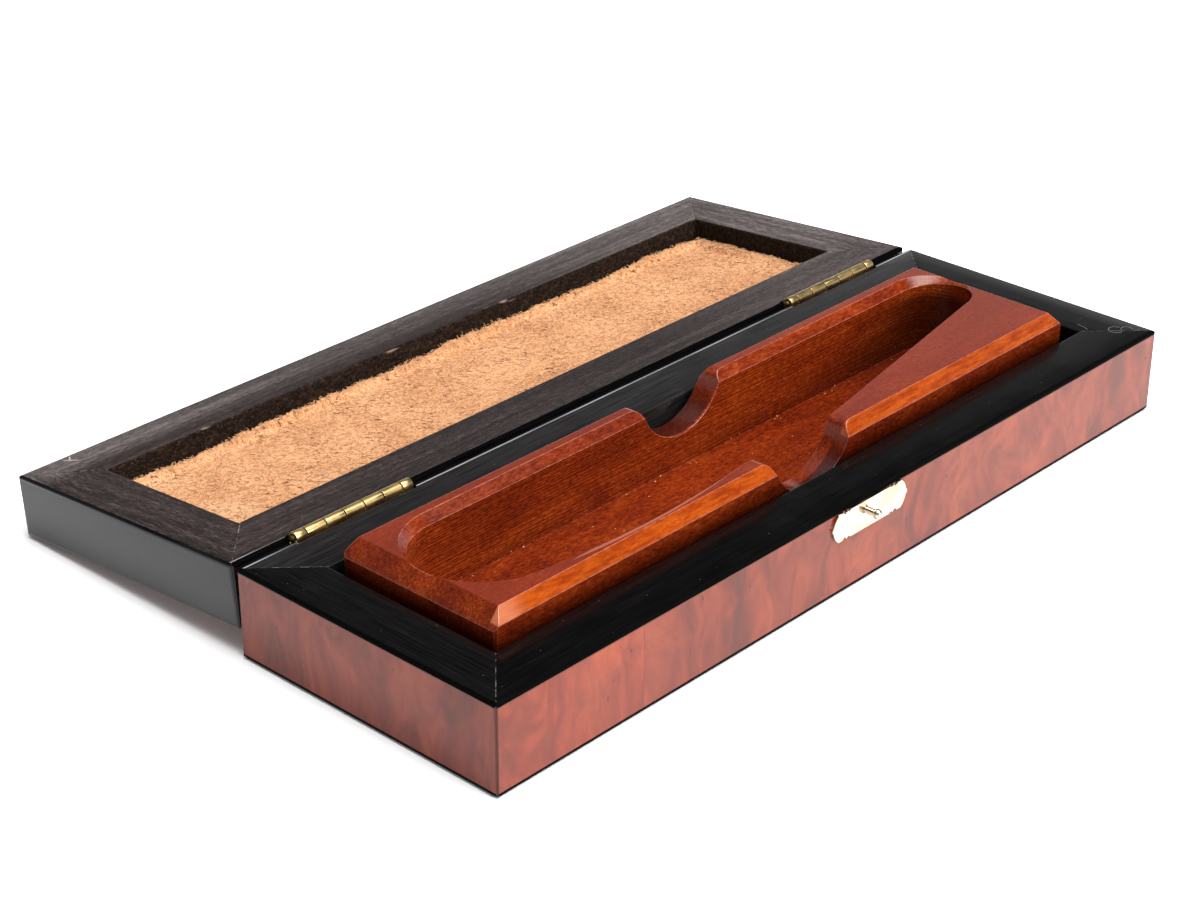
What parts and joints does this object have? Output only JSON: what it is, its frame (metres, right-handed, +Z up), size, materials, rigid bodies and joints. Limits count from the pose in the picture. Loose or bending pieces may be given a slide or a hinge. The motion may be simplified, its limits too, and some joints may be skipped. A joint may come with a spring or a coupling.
{
  "type": "straight razor box",
  "caption": "Long hinged wooden box lying open: veneered base with a carved razor cradle, and a leather-lined lid with a swing hook latch.",
  "frame": {"origin": "centre of the base's underside, on the table plane", "axes": "+X to the right along the box's long front, +Y from the front to the open lid, +Z up"},
  "size_m": [0.2, 0.1372, 0.0243],
  "materials": {
    "black_lacquer": "gloss black lacquer",
    "dark_wood": "dark stained open grain, satin",
    "burl_veneer": "salmon brown burl, gloss",
    "cradle_wood": "mahogany red, gloss",
    "inner_board": "raw board",
    "leather": "undyed split leather, rough",
    "felt": "black felt",
    "brass": "polished brass"
  },
  "bodies": {
    "base": {"base_front_wall": "black_lacquer", "base_back_wall": "black_lacquer", "base_left_wall": "black_lacquer", "base_right_wall": "black_lacquer", "base_front_liner": "black_lacquer", "base_back_liner": "black_lacquer", "base_left_liner": "black_lacquer", "base_right_liner": "black_lacquer", "base_front_veneer_left": "burl_veneer", "base_front_veneer_right": "burl_veneer", "base_back_veneer": "burl_veneer", "base_left_veneer": "burl_veneer", "base_right_veneer": "burl_veneer", "base_bottom_board": "inner_board", "base_felt": "felt", "razor_cradle": "cradle_wood", "hinge_left_base_leaf": "brass", "hinge_right_base_leaf": "brass", "hinge_left_pin": "brass", "hinge_right_pin": "brass", "base_hinge_nails": "brass", "catch_plate": "brass", "catch_stud": "brass"},
    "lid": {"lid_front_wall": "black_lacquer", "lid_back_wall": "black_lacquer", "lid_left_wall": "black_lacquer", "lid_right_wall": "black_lacquer", "lid_front_liner": "dark_wood", "lid_back_liner": "dark_wood", "lid_left_liner": "dark_wood", "lid_right_liner": "dark_wood", "lid_top_board": "inner_board", "lid_top_veneer": "burl_veneer", "lid_padding_board": "inner_board", "leather_pad": "leather", "hinge_left_lid_leaf": "brass", "hinge_right_lid_leaf": "brass", "lid_hinge_nails": "brass", "hook_plate": "brass", "hook_rivet": "brass"},
    "hook": {"latch_hook": "brass"}
  },
  "joints": [
    {"name": "lid_hinge", "type": "hinge", "parent": "base", "child": "lid", "pos_m": [0, 0.0335, 0.01895], "axis": [1, 0, 0], "range_deg": [0, 184.73]},
    {"name": "hook_pivot", "type": "hinge", "parent": "lid", "child": "hook", "pos_m": [0, 0.09921, 0.00965], "axis": [0, -0.9966, 0.0825], "range_deg": [0, 90]}
  ]
}
